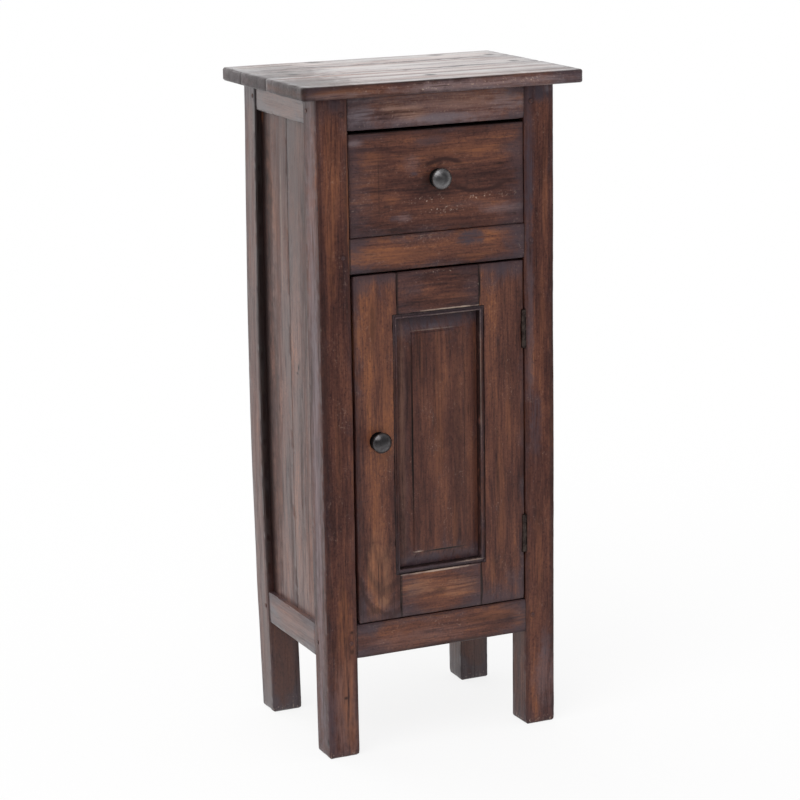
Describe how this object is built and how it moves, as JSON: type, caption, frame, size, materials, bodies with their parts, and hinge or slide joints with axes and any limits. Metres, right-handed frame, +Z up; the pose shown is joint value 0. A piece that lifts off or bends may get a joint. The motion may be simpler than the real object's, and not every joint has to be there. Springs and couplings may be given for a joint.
{
  "type": "telephone table",
  "caption": "Tall narrow wooden cabinet on square posts, with an overhanging plank top, a drawer over a raised-panel door, and an inner shelf.",
  "frame": {"origin": "on the floor, under the middle of the top's rectangle", "axes": "+Z up, -Y towards the front with the drawer and the door, +X to the right seen from the front"},
  "size_m": [0.4, 0.28, 0.9],
  "materials": {
    "stained_teak": "dark brown stain under satin lacquer, worn at the arrises",
    "inner_teak": "thin brown stain, matt",
    "knob_metal": "dark antique metal, satin",
    "hinge_steel": "dulled steel, stained over",
    "catch_plastic": "brown plastic"
  },
  "bodies": {
    "carcass": {"top_board_front": "stained_teak", "top_board_middle": "stained_teak", "top_board_back": "stained_teak", "post_front_left": "stained_teak", "post_front_right": "stained_teak", "post_back_left": "stained_teak", "post_back_right": "stained_teak", "rail_front_top": "stained_teak", "rail_front_middle": "stained_teak", "rail_front_bottom": "stained_teak", "rail_left_top": "stained_teak", "rail_left_bottom": "stained_teak", "rail_right_top": "stained_teak", "rail_right_bottom": "stained_teak", "rail_back_top": "stained_teak", "rail_back_bottom": "stained_teak", "left_panel_front_board": "stained_teak", "left_panel_back_board": "stained_teak", "right_panel_front_board": "stained_teak", "right_panel_back_board": "stained_teak", "back_panel_left_board": "stained_teak", "back_panel_right_board": "stained_teak", "joint_pegs": "stained_teak", "top_batten_left": "inner_teak", "top_batten_right": "inner_teak", "cupboard_floor": "inner_teak", "floor_cleats": "inner_teak", "shelf": "inner_teak", "shelf_cleat_left": "inner_teak", "shelf_cleat_right": "inner_teak", "drawer_runner_left": "inner_teak", "drawer_runner_right": "inner_teak", "drawer_guide_left": "inner_teak", "drawer_guide_right": "inner_teak", "drawer_stops": "inner_teak", "hinge_upper_post_leaf": "hinge_steel", "hinge_lower_post_leaf": "hinge_steel", "hinge_pins": "hinge_steel", "hinge_post_screws": "hinge_steel", "wood_screws": "hinge_steel", "door_catch": "catch_plastic"},
    "drawer": {"drawer_front": "stained_teak", "drawer_side_left": "inner_teak", "drawer_side_right": "inner_teak", "drawer_back": "inner_teak", "drawer_bottom": "inner_teak", "drawer_knob_screw": "hinge_steel", "drawer_nails": "hinge_steel", "drawer_knob": "knob_metal"},
    "door": {"door_stile_left": "stained_teak", "door_stile_right": "stained_teak", "door_rail_top": "stained_teak", "door_rail_bottom": "stained_teak", "door_panel": "stained_teak", "door_knob_screw": "hinge_steel", "hinge_upper_door_leaf": "hinge_steel", "hinge_lower_door_leaf": "hinge_steel", "hinge_door_screws": "hinge_steel", "catch_plate": "hinge_steel", "door_knob": "knob_metal"}
  },
  "joints": [
    {"name": "drawer_slide", "type": "slide", "parent": "carcass", "child": "drawer", "axis": [0, -1, 0], "range_m": [0, 0.16]},
    {"name": "door_hinge", "type": "hinge", "parent": "carcass", "child": "door", "pos_m": [0.1195, -0.1186, 0.416], "axis": [0, 0, 1], "range_deg": [0, 165]}
  ]
}
